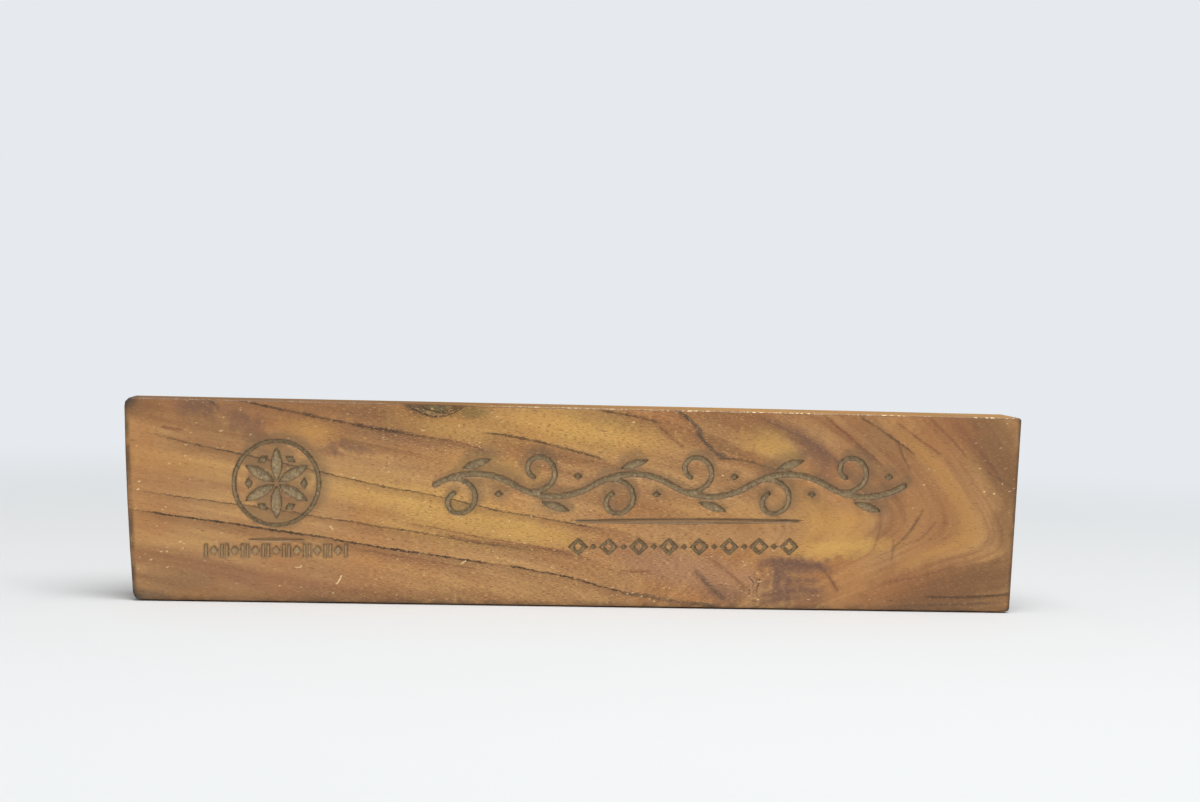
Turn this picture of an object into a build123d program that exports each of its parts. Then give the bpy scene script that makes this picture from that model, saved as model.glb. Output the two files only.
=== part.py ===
from build123d import *
import math
import os

# Desk name plate: a solid teak block that stands on its lower edge, engraved on its front face.
# Millimetres. +X runs along the plate, the front face looks to -Y, +Z is up.
# The origin is on the desk, under the middle of the plate.

# Block
block_width = 254.0
block_height = 56.0
block_thickness = 20.0
left_foot_inset = 3.6
right_foot_inset = 1.6
left_end_bow = 0.45
top_left_radius = 1.7
top_right_radius = 0.6
bottom_left_radius = 1.6
bottom_right_radius = 0.9
arris_radius = 0.5
arris_limit_share = 0.85

# Engraving in general
groove_depth = 0.8
fine_groove_depth = 0.5
fill_thickness = 0.3
fill_clearance = 0.04
cut_overrun = 1.0
engraving_turn = 1.0

# Rosette at the left
rosette_radius = 12.2
rosette_ring_width = 0.9
rosette_petal_radius = 10.6
petal_count = 6
petal_length_share = 0.86
petal_width_share = 0.27
rosette_spot_shares = (0.30, 0.18)
rosette_spot_place_share = 0.72
rosette_place_shares = (-0.334, 0.59)

# Short rule and row of beads under the rosette
emblem_rule_length = 15.8
emblem_rule_width = 0.6
emblem_rule_gap = 3.3
caption_length = 40.0
caption_height = 3.6
caption_gap = 0.9
caption_bead_count = 7
caption_bead_shares = (0.40, 0.72)
caption_reel_share = 0.12

# Vine scroll on the main line
scroll_length = 134.0
scroll_height = 15.6
scroll_place_shares = (0.103, 0.617)
stem_width = 1.5
tendril_width = 1.2
wave_count = 6
wave_rise_share = 0.205
tendril_start_share = 0.10
tendril_radius_shares = (0.45, 0.29, 0.19)
tendril_sweeps = (70.0, 145.0, 145.0)
leaf_length_share = 0.37
leaf_width_share = 0.14
leaf_place_shares = (0.52, 0.385)
leaf_tilt = 18.0
bud_shares = (0.15, 0.12)
bud_place_shares = (0.80, -0.16)

# Long rule and row of lozenges under the scroll
rule_length = 66.7
rule_width = 0.9
rule_gap = 1.8
rule_shift_share = 0.036
title_length = 69.0
title_height = 5.0
title_gap = 4.4
title_lozenge_count = 8
title_lozenge_share = 0.62
title_stroke_width = 0.9
title_bead_shares = (0.20, 0.34)
title_shift_share = -0.017

# Felt pads under the block
pad_diameter = 6.0
pad_recess_depth = 0.8
pad_proud = 0.4
pad_clearance = 0.1
pad_place_shares = (0.42, 0.26)


def block_profile():
    """Outline of the block seen from the front, wider at the top, with a bowed left end."""
    low = pad_proud
    high = pad_proud + block_height
    half = block_width / 2
    top_left = (-half, high)
    top_right = (half, high)
    bottom_left = (left_foot_inset - half, low)
    bottom_right = (half - right_foot_inset, low)
    bow_middle = ((top_left[0] + bottom_left[0]) / 2 - left_end_bow, (low + high) / 2)
    outline = [
        ThreePointArc(bottom_left, bow_middle, top_left),
        Line(top_left, top_right),
        Line(top_right, bottom_right),
        Line(bottom_right, bottom_left),
    ]
    profile = make_face(outline)
    corners = [
        (top_left, top_left_radius),
        (top_right, top_right_radius),
        (bottom_left, bottom_left_radius),
        (bottom_right, bottom_right_radius),
    ]
    for corner, radius in corners:
        vertex = profile.vertices().sort_by_distance(corner)[0]
        profile = fillet(vertex, radius)
    return profile


def plain_block():
    """The block before engraving, with its front and back arrises eased."""
    block = extrude(Plane.XZ * block_profile(), amount=block_thickness / 2, both=True)
    smallest = min(top_left_radius, top_right_radius, bottom_left_radius, bottom_right_radius)
    easing = min(arris_radius, arris_limit_share * smallest)
    ends = block.faces().sort_by(Axis.Y)
    return fillet(ends[0].edges() + ends[-1].edges(), easing)


def lens(length, width):
    """A pointed oval: two equal arcs that meet at both tips."""
    left = (-length / 2, 0)
    right = (length / 2, 0)
    upper = ThreePointArc(left, (0, width / 2), right)
    lower = ThreePointArc(right, (0, -width / 2), left)
    return make_face([upper, lower])


def lozenge(width, height):
    corners = [(width / 2, 0), (0, height / 2), (-width / 2, 0), (0, -height / 2)]
    return make_face(Polyline(*corners, close=True))


def arc_chain(start, heading, radii, sweeps):
    """A path of arcs, each tangent to the one before; a negative sweep turns right."""
    arcs = []
    direction = Vector(1, 0).rotate(Axis.Z, heading)
    for radius, sweep in zip(radii, sweeps):
        arc = JernArc(start, direction, radius, sweep)
        arcs.append(arc)
        start = arc @ 1
        direction = arc % 1
    return Wire([edge for arc in arcs for edge in arc.edges()])


def rosette(inset):
    """A ring round a six-petalled compass flower, with a lozenge between each pair of petals."""
    outer = rosette_radius - inset
    inner = rosette_radius - rosette_ring_width + inset
    shapes = [Circle(outer) - Circle(inner)]
    reach = rosette_petal_radius
    petal = offset(lens(petal_length_share * reach, petal_width_share * reach), -inset)
    spot = offset(lozenge(rosette_spot_shares[0] * reach, rosette_spot_shares[1] * reach), -inset)
    step = 360 / petal_count
    for number in range(petal_count):
        turn = Rot(0, 0, number * step)
        between = Rot(0, 0, (number + 1 / 2) * step)
        shapes.append(turn * Pos(0, reach / 2) * Rot(0, 0, 90) * petal)
        shapes.append(between * Pos(0, rosette_spot_place_share * reach) * spot)
    return shapes


def emblem_rule(inset):
    return [offset(lens(emblem_rule_length, emblem_rule_width), -inset)]


def caption_row(inset):
    """Lozenge beads between pairs of upright reels."""
    pitch = caption_length / caption_bead_count
    bead = offset(lozenge(caption_bead_shares[0] * pitch, caption_bead_shares[1] * caption_height), -inset)
    reel_width = caption_reel_share * pitch
    reel = Rectangle(reel_width - 2 * inset, caption_height - 2 * inset)
    reel_place = pitch / 2 - reel_width
    shapes = []
    for number in range(caption_bead_count):
        centre = (number + 1 / 2) * pitch - caption_length / 2
        shapes.append(Pos(centre, 0) * bead)
        shapes.append(Pos(centre - reel_place, 0) * reel)
        shapes.append(Pos(centre + reel_place, 0) * reel)
    return shapes


def vine_scroll(inset):
    """A waving stem with a curled tendril, a leaf and a bud in each wave."""
    pitch = scroll_length / wave_count
    rise = wave_rise_share * scroll_height
    slope = 2 * math.degrees(math.atan(2 * rise / pitch))
    stem_radius = pitch / 2 / math.sin(math.radians(slope))
    sides = [1 if number % 2 == 0 else -1 for number in range(wave_count)]
    sweeps = [-2 * slope * side for side in sides]
    stem_path = arc_chain((-scroll_length / 2, 0), slope, [stem_radius] * wave_count, sweeps)
    vine = SlotArc(stem_path, stem_width - 2 * inset)
    radii = [share * scroll_height for share in tendril_radius_shares]
    leaf = offset(lens(leaf_length_share * pitch, leaf_width_share * scroll_height), -inset)
    bud = offset(lozenge(bud_shares[0] * scroll_height, bud_shares[1] * scroll_height), -inset)
    loose = []
    for number, side in enumerate(sides):
        left = number * pitch - scroll_length / 2
        sprout = stem_path @ ((number + tendril_start_share) / wave_count)
        heading = slope * (1 - 2 * tendril_start_share) * side
        curl = arc_chain(sprout, heading, radii, [-sweep * side for sweep in tendril_sweeps])
        vine += SlotArc(curl, tendril_width - 2 * inset)
        along, up = leaf_place_shares
        leaf_place = Pos(left + along * pitch, side * up * scroll_height)
        loose.append(leaf_place * Rot(0, 0, side * leaf_tilt) * leaf)
        along, up = bud_place_shares
        bud_place = Pos(left + along * pitch, side * up * scroll_height)
        loose.append(bud_place * bud)
    return [vine] + loose


def long_rule(inset):
    return [offset(lens(rule_length, rule_width), -inset)]


def title_row(inset):
    """Open lozenges with a small lozenge bead between each pair."""
    pitch = title_length / title_lozenge_count
    outline = lozenge(title_lozenge_share * pitch, title_height)
    open_lozenge = offset(outline, -inset) - offset(outline, inset - title_stroke_width)
    bead = offset(lozenge(title_bead_shares[0] * pitch, title_bead_shares[1] * title_height), -inset)
    shapes = []
    for number in range(title_lozenge_count):
        centre = (number + 1 / 2) * pitch - title_length / 2
        shapes.append(Pos(centre, 0) * open_lozenge)
        if number > 0:
            shapes.append(Pos(centre - pitch / 2, 0) * bead)
    return shapes


def front_plane(across, up):
    """A drawing plane on the front face, turned by the slight tilt of the engraving."""
    tilt = math.radians(engraving_turn)
    return Plane(
        origin=(across, -block_thickness / 2, up),
        x_dir=(math.cos(tilt), 0, math.sin(tilt)),
        z_dir=(0, -1, 0),
    )


def stacked(top_plane, drop, shift=0):
    """A plane lower on the front face, measured square to the tilted lines."""
    origin = top_plane.from_local_coords((shift, -drop, 0))
    return Plane(origin=origin, x_dir=top_plane.x_dir, z_dir=top_plane.z_dir)


def engraved_group(block, plane, figure, depth):
    """Cuts a figure into the block and lays its colour fill on the floors of the grooves."""
    for shape in figure(0):
        block -= extrude(plane.offset(cut_overrun) * shape, amount=-(cut_overrun + depth))
    fills = []
    for shape in figure(fill_clearance):
        fills += extrude(plane.offset(-depth) * shape, amount=fill_thickness).solids()
    return block, Compound(children=fills)


def pad_centres():
    """Where the pads are, by name, as places along and across the underside."""
    along = pad_place_shares[0] * block_width
    across = pad_place_shares[1] * block_thickness
    return {
        "front_left_pad": (-along, -across),
        "front_right_pad": (along, -across),
        "rear_left_pad": (-along, across),
        "rear_right_pad": (along, across),
    }


def build():
    """All pieces of the plate, by name."""
    block = plain_block()
    pieces = {}

    rosette_plane = front_plane(
        rosette_place_shares[0] * block_width, pad_proud + rosette_place_shares[1] * block_height
    )
    emblem_rule_drop = rosette_radius + emblem_rule_gap + emblem_rule_width / 2
    emblem_rule_plane = stacked(rosette_plane, emblem_rule_drop)
    caption_drop = emblem_rule_width / 2 + caption_gap + caption_height / 2
    caption_plane = stacked(emblem_rule_plane, caption_drop)
    scroll_plane = front_plane(
        scroll_place_shares[0] * block_width, pad_proud + scroll_place_shares[1] * block_height
    )
    rule_drop = scroll_height / 2 + rule_gap + rule_width / 2
    rule_plane = stacked(scroll_plane, rule_drop, rule_shift_share * scroll_length)
    title_drop = rule_width / 2 + title_gap + title_height / 2
    title_plane = stacked(rule_plane, title_drop, title_shift_share * title_length)

    groups = [
        ("emblem_fill", rosette_plane, rosette, groove_depth),
        ("emblem_rule_fill", emblem_rule_plane, emblem_rule, fine_groove_depth),
        ("caption_fill", caption_plane, caption_row, fine_groove_depth),
        ("flourish_fill", scroll_plane, vine_scroll, groove_depth),
        ("rule_fill", rule_plane, long_rule, fine_groove_depth),
        ("title_fill", title_plane, title_row, groove_depth),
    ]
    for name, plane, figure, depth in groups:
        block, pieces[name] = engraved_group(block, plane, figure, depth)

    pad_height = pad_proud + pad_recess_depth
    for name, (along, across) in pad_centres().items():
        recess = Pos(along, across, pad_height) * Cylinder(
            pad_diameter / 2 + pad_clearance,
            pad_recess_depth + cut_overrun,
            align=(Align.CENTER, Align.CENTER, Align.MAX),
        )
        block -= recess
        pieces[name] = Pos(along, across, 0) * Cylinder(
            pad_diameter / 2, pad_height, align=(Align.CENTER, Align.CENTER, Align.MIN)
        )
    pieces["teak_block"] = block
    return pieces


os.makedirs("parts", exist_ok=True)
for name, piece in build().items():
    export_step(piece, os.path.join("parts", name + ".step"))
    print(name, len(piece.solids()), "solids", round(piece.volume, 3), "mm3")
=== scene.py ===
# %% [markdown]
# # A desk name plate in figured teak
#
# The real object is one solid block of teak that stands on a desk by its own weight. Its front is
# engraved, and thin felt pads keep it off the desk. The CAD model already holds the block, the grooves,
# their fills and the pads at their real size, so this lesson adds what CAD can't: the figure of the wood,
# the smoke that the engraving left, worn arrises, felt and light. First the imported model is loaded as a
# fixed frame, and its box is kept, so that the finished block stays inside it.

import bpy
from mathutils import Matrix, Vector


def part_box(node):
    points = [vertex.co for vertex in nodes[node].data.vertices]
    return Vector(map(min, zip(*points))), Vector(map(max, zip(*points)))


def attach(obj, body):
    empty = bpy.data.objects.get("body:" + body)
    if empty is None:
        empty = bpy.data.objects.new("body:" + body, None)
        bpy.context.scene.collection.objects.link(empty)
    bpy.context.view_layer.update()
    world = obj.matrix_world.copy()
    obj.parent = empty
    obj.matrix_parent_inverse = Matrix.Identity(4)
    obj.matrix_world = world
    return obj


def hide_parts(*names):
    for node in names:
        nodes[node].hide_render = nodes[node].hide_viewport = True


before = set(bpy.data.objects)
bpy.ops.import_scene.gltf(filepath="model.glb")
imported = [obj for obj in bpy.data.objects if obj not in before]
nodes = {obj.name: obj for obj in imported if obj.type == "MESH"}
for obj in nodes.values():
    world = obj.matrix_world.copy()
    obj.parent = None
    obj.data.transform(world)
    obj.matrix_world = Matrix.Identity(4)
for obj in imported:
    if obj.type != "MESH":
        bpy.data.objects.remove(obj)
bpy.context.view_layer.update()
print("CAD nodes:", ", ".join(sorted(nodes)))

# %% [markdown]
# ## The camera
#
# The photograph was taken from close by with a medium long lens, a little above the plate and a little to
# its left. The place and the angles below make the plate's four front corners fall where the photograph
# has them. A quaternion is used because the camera is also rolled: it is first aimed along its line of
# sight, then turned about that line.

# %% Camera
import math

import bpy
from mathutils import Quaternion, Vector

camera_place = Vector((-0.06497, -0.66214, 0.08963))
camera_yaw = math.radians(6.12)
camera_pitch = math.radians(-2.72)
camera_roll = math.radians(1.66)


def added(name, data):
    """A new object that holds the data, put into the scene."""
    thing = bpy.data.objects.new(name, data)
    bpy.context.scene.collection.objects.link(thing)
    return thing


line_of_sight = Vector((
    math.sin(camera_yaw) * math.cos(camera_pitch),
    math.cos(camera_yaw) * math.cos(camera_pitch),
    math.sin(camera_pitch),
))
lens = bpy.data.cameras.new("desk_camera")
lens.sensor_width = 36.0
lens.lens = 69.93
camera = added("desk_camera", lens)
camera.location = camera_place
camera.rotation_mode = "QUATERNION"
camera.rotation_quaternion = line_of_sight.to_track_quat("-Z", "Y") @ Quaternion((0, 0, 1), camera_roll)
bpy.context.scene.camera = camera
print("camera looks along", tuple(round(part, 3) for part in line_of_sight))

# %% [markdown]
# ## Small helpers for shader nodes
#
# A wood like this needs a few hundred nodes. Placing each by hand would bury the idea, so small helpers
# place them and return their outputs. `feed` is the heart of them: a socket is linked when the value is
# another socket, and set when it is a plain number.

# %% Node helpers
def paint(red, green, blue):
    """A colour as a screen shows it, 0 to 255 a channel, turned into the linear colour of a shader."""
    linear = []
    for channel in (red, green, blue):
        share = channel / 255
        linear.append(share / 12.92 if share <= 0.04045 else ((share + 0.055) / 1.055) ** 2.4)
    return (*linear, 1.0)


def feed(tree, socket, value):
    if isinstance(value, bpy.types.NodeSocket):
        tree.links.new(value, socket)
    else:
        socket.default_value = value


def made(tree, kind, *values):
    """A new node with its inputs fed in order."""
    node = tree.nodes.new(kind)
    for socket, value in zip(node.inputs, values):
        feed(tree, socket, value)
    return node


def maths(tree, operation, *values):
    node = made(tree, "ShaderNodeMath", *values)
    node.operation = operation
    return node.outputs["Value"]


def times(tree, product, *factors):
    for factor in factors:
        product = maths(tree, "MULTIPLY", product, factor)
    return product


def gap(tree, value, other):
    return maths(tree, "ABSOLUTE", maths(tree, "SUBTRACT", value, other))


def remap(tree, value, low, high, to_low=0.0, to_high=1.0):
    """A smooth step from to_low to to_high while the value goes from low to high."""
    node = made(tree, "ShaderNodeMapRange", value, low, high, to_low, to_high)
    node.interpolation_type = "SMOOTHSTEP"
    # A smooth step never leaves its ends. The switch would add a node to each of some hundred steps
    node.clamp = False
    return node.outputs["Result"]


print("helpers for values ready")

# %% Vector and colour helpers
def joined(tree, x, y, z):
    return made(tree, "ShaderNodeCombineXYZ", x, y, z).outputs["Vector"]


def parted(tree, vector):
    node = made(tree, "ShaderNodeSeparateXYZ", vector)
    return node.outputs["X"], node.outputs["Y"], node.outputs["Z"]


def scaled(tree, vector, factor):
    node = tree.nodes.new("ShaderNodeVectorMath")
    node.operation = "SCALE"
    tree.links.new(vector, node.inputs["Vector"])
    feed(tree, node.inputs["Scale"], factor)
    return node.outputs["Vector"]


def mixed(tree, share, under, over, blend="MIX"):
    node = tree.nodes.new("ShaderNodeMix")
    node.data_type = "RGBA"
    node.blend_type = blend
    feed(tree, node.inputs[0], share)
    feed(tree, node.inputs[6], under)
    feed(tree, node.inputs[7], over)
    return node.outputs[2]


def tinted(tree, colour, tint, *masks):
    """A colour with a tint laid over it, by the product of some masks."""
    return mixed(tree, times(tree, *masks), colour, tint)


def ramp(tree, value, stops):
    """A colour ramp; each stop is a place from 0 to 1 and a colour."""
    node = made(tree, "ShaderNodeValToRGB", value)
    row = node.color_ramp.elements
    while len(row) < len(stops):
        row.new(1.0)
    for stop, (place, colour) in zip(row, stops):
        stop.position = place
        stop.color = colour
    return node.outputs["Color"]


print("helpers for vectors and colours ready")

# %% Group helpers
vector_sockets = {"Point", "Centre", "Place"}


def new_group(name, given, result):
    """An empty node group with its named sockets, and those sockets as seen from inside."""
    group = bpy.data.node_groups.new(name, "ShaderNodeTree")
    for sockets, direction in ((given, "INPUT"), (result, "OUTPUT")):
        for socket in sockets:
            kind = "NodeSocketVector" if socket in vector_sockets else "NodeSocketFloat"
            group.interface.new_socket(socket, in_out=direction, socket_type=kind)
    return group, group.nodes.new("NodeGroupInput").outputs, group.nodes.new("NodeGroupOutput").inputs


def placed(tree, group, *values):
    """One use of a group, with values in the order of its sockets; returns its outputs."""
    node = tree.nodes.new("ShaderNodeGroup")
    node.node_tree = group
    for socket, value in zip(node.inputs, values):
        feed(tree, socket, value)
    return node.outputs


print("helpers for groups ready")

# %% Cloud group
cloud, given, result = new_group("cloud", ["Point", "Scale", "Detail"], ["Value"])
soft_noise = cloud.nodes.new("ShaderNodeTexNoise")
for outer, inner in (("Point", "Vector"), ("Scale", "Scale"), ("Detail", "Detail")):
    cloud.links.new(given[outer], soft_noise.inputs[inner])
cloud.links.new(soft_noise.outputs["Fac"], result["Value"])


def clouds(tree, point, scale=1.0, detail=2.0):
    """Soft noise about one half."""
    return placed(tree, cloud, point, scale, detail)["Value"]


def swings(tree, point, scale=1.0, detail=2.0):
    """Soft noise about nothing."""
    return maths(tree, "SUBTRACT", clouds(tree, point, scale, detail), 0.5)


print("group", cloud.name)

# %% [markdown]
# ## Shared effects as node groups
#
# Three effects come back again and again. `patch` is a soft oval stain. `flecks` are the tiny pale specks of
# dust that sit in open pores, in the engraving and on felt. `unevenness` is the slight cloudiness that keeps
# any real surface from being one flat colour. All of them work in millimetres, so their numbers can be read
# off the object.

# %% Points in millimetres
def millimetres(tree):
    """Where the shaded point is, in the CAD frame, in millimetres."""
    place = tree.nodes.new("ShaderNodeTexCoord").outputs["Object"]
    return scaled(tree, place, 1000.0)


def new_finish(name):
    """A new material, its nodes, its shader and the point that it shades."""
    finish = bpy.data.materials.new(name)
    finish.use_nodes = True
    tree = finish.node_tree
    return finish, tree, tree.nodes["Principled BSDF"], millimetres(tree)


def turned(tree, given):
    """A point of the front, seen from a centre that leans: how far along and how far across."""
    x, _, z = parted(tree, given["Point"])
    centre_x, _, centre_z = parted(tree, given["Centre"])
    right = maths(tree, "SUBTRACT", x, centre_x)
    up = maths(tree, "SUBTRACT", z, centre_z)
    cosine = maths(tree, "COSINE", given["Lean"])
    sine = maths(tree, "SINE", given["Lean"])
    along = maths(tree, "MULTIPLY_ADD", right, cosine, times(tree, up, sine))
    across = maths(tree, "SUBTRACT", times(tree, up, cosine), times(tree, right, sine))
    return along, across


print("helpers for places ready")

# %% Patch group
patch, given, result = new_group(
    "patch",
    ["Point", "Centre", "Lean", "Half Length", "Half Height"],
    ["Mask"],
)
along, across = turned(patch, given)
along = maths(patch, "DIVIDE", along, given["Half Length"])
across = maths(patch, "DIVIDE", across, given["Half Height"])
reach = maths(patch, "SQRT", maths(patch, "MULTIPLY_ADD", along, along, times(patch, across, across)))
patch.links.new(remap(patch, reach, 1.0, 0.15), result["Mask"])


def patched(tree, point, x, height, lean, half_length, half_height):
    """One soft oval on the front, in millimetres; its lean is in degrees."""
    return placed(tree, patch, point, (x, 0, height), math.radians(lean), half_length, half_height)["Mask"]


print("group", patch.name)

# %% Flecks group
flecks, given, result = new_group("flecks", ["Point", "Per Millimetre", "Size", "Kept"], ["Mask"])
cells = flecks.nodes.new("ShaderNodeTexVoronoi")
flecks.links.new(given["Point"], cells.inputs["Vector"])
flecks.links.new(given["Per Millimetre"], cells.inputs["Scale"])
draw, size_draw, _ = parted(flecks, cells.outputs["Color"])
kept = maths(flecks, "LESS_THAN", draw, given["Kept"])
size = times(flecks, given["Size"], maths(flecks, "ADD", size_draw, 0.4))
speck = remap(flecks, cells.outputs["Distance"], size, times(flecks, size, 0.4))
flecks.links.new(times(flecks, kept, speck), result["Mask"])


def flecked(tree, point, per_millimetre, size, kept):
    """Specks in a share of small cells; their size is counted in cells."""
    return placed(tree, flecks, point, per_millimetre, size, kept)["Mask"]


print("group", flecks.name)

# %% Unevenness group
unevenness, given, result = new_group("unevenness", ["Point", "Per Millimetre", "Contrast"], ["Value"])
drift = swings(unevenness, given["Point"], given["Per Millimetre"], 4.0)
unevenness.links.new(maths(unevenness, "MULTIPLY_ADD", drift, given["Contrast"], 0.5), result["Value"])


def uneven(tree, point, per_millimetre, contrast):
    """A value about one half that wanders over the surface."""
    return placed(tree, unevenness, point, per_millimetre, contrast)["Value"]


print("group", unevenness.name)

# %% [markdown]
# ## The block's mesh
#
# The real block is sawn, sanded by hand and varnished, so its arrises and corners are never quite even. The
# CAD mesh has the right shape, but its large faces have few points. A copy is therefore cut into small
# cells by planes, which keeps every groove as it is. The extra points carry two things: wear along the
# arrises, and the distance to the nearest engraved stroke, which the finish needs to draw the smoke. Around
# the strokes the cells are half as wide, so that the burnt outline stays thin.

# %% Cut the block into cells
import bmesh

cell = 0.0015
engraved_cell = 0.00075
weld = 1e-7
flat_angle = math.radians(0.2)
sharp_angle = math.radians(32)


def cut(body, axis, low, high, step, chosen=None):
    """Cut a mesh, or its chosen faces, by evenly spaced planes across one axis."""
    faces = [face for face in body.faces if chosen is None or chosen(face.calc_center_median())]
    edges = {edge for face in faces for edge in face.edges}
    points = {point for face in faces for point in face.verts}
    pieces = [*points, *edges, *faces]
    count = int((high - low) / step)
    for number in range(1, count + 1):
        place, normal = [0, 0, 0], [0, 0, 0]
        place[axis] = low + (high - low) * number / (count + 1)
        normal[axis] = 1
        pieces = bmesh.ops.bisect_plane(body, geom=pieces, plane_co=place, plane_no=normal, dist=weld)["geom"]


block_low, block_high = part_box("teak_block")
solid = bmesh.new()
solid.from_mesh(nodes["teak_block"].data)
bmesh.ops.remove_doubles(solid, verts=solid.verts, dist=weld)
bmesh.ops.dissolve_limit(solid, angle_limit=flat_angle, verts=solid.verts, edges=solid.edges)
for axis, step in ((0, cell), (2, cell), (1, 2 * cell)):
    cut(solid, axis, block_low[axis], block_high[axis], step)
print("block:", len(solid.verts), "points,", len(solid.faces), "faces")

# %% Finer cells around the strokes
fill_names = [name for name in sorted(nodes) if name.endswith("_fill")]
smoke_margin = 0.0025
face_skin = 0.0002


def finer_around(names):
    boxes = [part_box(name) for name in names]
    low = [min(box[0][axis] for box in boxes) - smoke_margin for axis in range(3)]
    high = [max(box[1][axis] for box in boxes) + smoke_margin for axis in range(3)]

    def on_engraved_front(middle):
        inside = all(low[axis] < middle[axis] < high[axis] for axis in (0, 2))
        return inside and middle.y < block_low.y + face_skin

    for axis in (0, 2):
        cut(solid, axis, low[axis], high[axis], engraved_cell, on_engraved_front)


finer_around(["emblem_fill", "emblem_rule_fill", "caption_fill"])
finer_around(["flourish_fill", "rule_fill", "title_fill"])
print("with finer cells:", len(solid.verts), "points")

# %% [markdown]
# Three small things on the real block aren't in the CAD model. At one place the saw just missed the outside
# of the log: there the top front arris falls away in a shallow hollow with a round lower edge, called wane.
# The corners are knocked round, the left ones most. And the plane tilted a little on the top, so at the left
# its back edge lies lower. All three move points inward only, so the block never outgrows its box.

# %% Hollow the wane
wane_middle, wane_half, wane_drop = -0.0408, 0.0078, 0.0034
wane_depth, wane_ease, wane_fade = 0.0006, 0.0014, 0.0018
wane_cell = 0.0005


def by_the_wane(middle):
    near = abs(middle.x - wane_middle) < wane_half + 2 * cell and middle.y < block_low.y + 2 * cell
    return near and middle.z > block_high.z - wane_drop - 2 * cell


for axis, low, high in (
    (0, wane_middle - wane_half, wane_middle + wane_half),
    (2, block_high.z - wane_drop - wane_cell, block_high.z),
):
    cut(solid, axis, low, high, wane_cell, by_the_wane)
hollowed = 0
for point in solid.verts:
    offset = (point.co.x - wane_middle) / wane_half
    back = point.co.y - block_low.y
    arc = block_high.z - wane_drop * (1 - offset * offset)
    if abs(offset) >= 1 or back >= wane_fade or point.co.z <= arc:
        continue
    eased = min(1.0, (point.co.z - arc) / wane_ease)
    point.co.y += wane_depth * eased * eased * (3 - 2 * eased) * (1 - back / wane_fade)
    hollowed += 1
print("wane points:", hollowed)

# %% Knock the corners round
arris = 0.0005
left_foot_inset, right_foot_inset = 0.0036, 0.0016
corner_cell = 0.0004
# Each row: at the right, at the top, radius
corner_rows = [(False, True, 0.0019), (False, False, 0.0017), (True, False, 0.0011), (True, True, 0.0008)]


def end_place(height, at_right):
    """Where an end face of the block is at a height: the ends lean in towards the foot."""
    fall = (block_high.z - height) / (block_high.z - block_low.z)
    return block_high.x - fall * right_foot_inset if at_right else block_low.x + fall * left_foot_inset


def corner_offset(place, at_right, at_top):
    """How far a point is from the end face and from the top or the underside, both counted inward."""
    across = end_place(place.z, at_right) - place.x if at_right else place.x - end_place(place.z, at_right)
    return across, block_high.z - place.z if at_top else place.z - block_low.z


knocked = 0
for at_right, at_top, radius in corner_rows:
    def in_corner(middle):
        return max(corner_offset(middle, at_right, at_top)) < 2 * radius

    edge = block_high.z if at_top else block_low.z
    side = end_place(edge, at_right)
    inward = -1 if at_right else 1
    downward = -1 if at_top else 1
    for axis, start, direction in ((0, side, inward), (2, edge, downward)):
        low, high = sorted((start, start + direction * 2 * radius))
        cut(solid, axis, low, high, corner_cell, in_corner)
    for point in solid.verts:
        across, down = corner_offset(point.co, at_right, at_top)
        if max(across, down) >= radius:
            continue
        shallow = min(arris, point.co.y - block_low.y, block_high.y - point.co.y)
        inset = arris - math.sqrt(max(0.0, arris ** 2 - (arris - shallow) ** 2))
        from_centre = Vector((radius - across, radius - down))
        if from_centre.length <= radius - inset:
            continue
        moved = from_centre * (1 - (radius - inset) / from_centre.length)
        point.co.x += inward * moved.x
        point.co.z += downward * moved.y
        knocked += 1
print("corner points:", knocked)

# %% Tilt the top
tilt_fall, tilt_end, tilt_depth = 0.00045, 0.040, 0.003

for point in solid.verts:
    near_top = max(0.0, 1 - (block_high.z - point.co.z) / tilt_depth)
    leftward = min(1.0, max(0.0, (tilt_end - point.co.x) / (tilt_end - block_low.x)))
    backward = (point.co.y - block_low.y) / (block_high.y - block_low.y)
    point.co.z -= tilt_fall * near_top * leftward * backward
print("top tilted by", tilt_fall * 1000, "mm at the left")

# %% Distance to the engraving
from mathutils.bvhtree import BVHTree

far_away = 6.0
fill_trees = {}
for name in fill_names:
    fill_mesh = nodes[name].data
    fill_points = [point.co for point in fill_mesh.vertices]
    fill_faces = [tuple(face.vertices) for face in fill_mesh.polygons]
    fill_trees[name] = BVHTree.FromPolygons(fill_points, fill_faces)


def stroke_distance(place, names):
    """Millimetres from a point to the nearest of these engravings, as far as the smoke could reach."""
    nearest = far_away
    for name in names:
        distance = fill_trees[name].find_nearest(place, far_away / 1000)[3]
        if distance is not None:
            nearest = min(nearest, distance * 1000)
    return nearest


# Only the two large engravings were burnt long enough to smoke
smoky_names = ["emblem_fill", "flourish_fill"]
smoke_rise = Vector((0.0003, 0, 0.0011))
engraved_skin = 0.0015
distance_layer = solid.verts.layers.float.new("stroke_distance")
smoke_layer = solid.verts.layers.float.new("smoke_distance")
for point in solid.verts:
    near_front = point.co.y < block_low.y + engraved_skin
    point[distance_layer] = stroke_distance(point.co, fill_names) if near_front else far_away
    point[smoke_layer] = stroke_distance(point.co - smoke_rise, smoky_names) if near_front else far_away
print("points near the engraving:", sum(point[distance_layer] < 2 for point in solid.verts))

# %% Wear the arrises
from mathutils import noise

dent_depth = 0.00022
dent_size = 0.004
chip_share, chips_per_dent = 0.5, 3.1
engraved_reach = 1.5
foot_height = 0.0015
least_slant, full_slant = 0.05, 0.2

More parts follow.
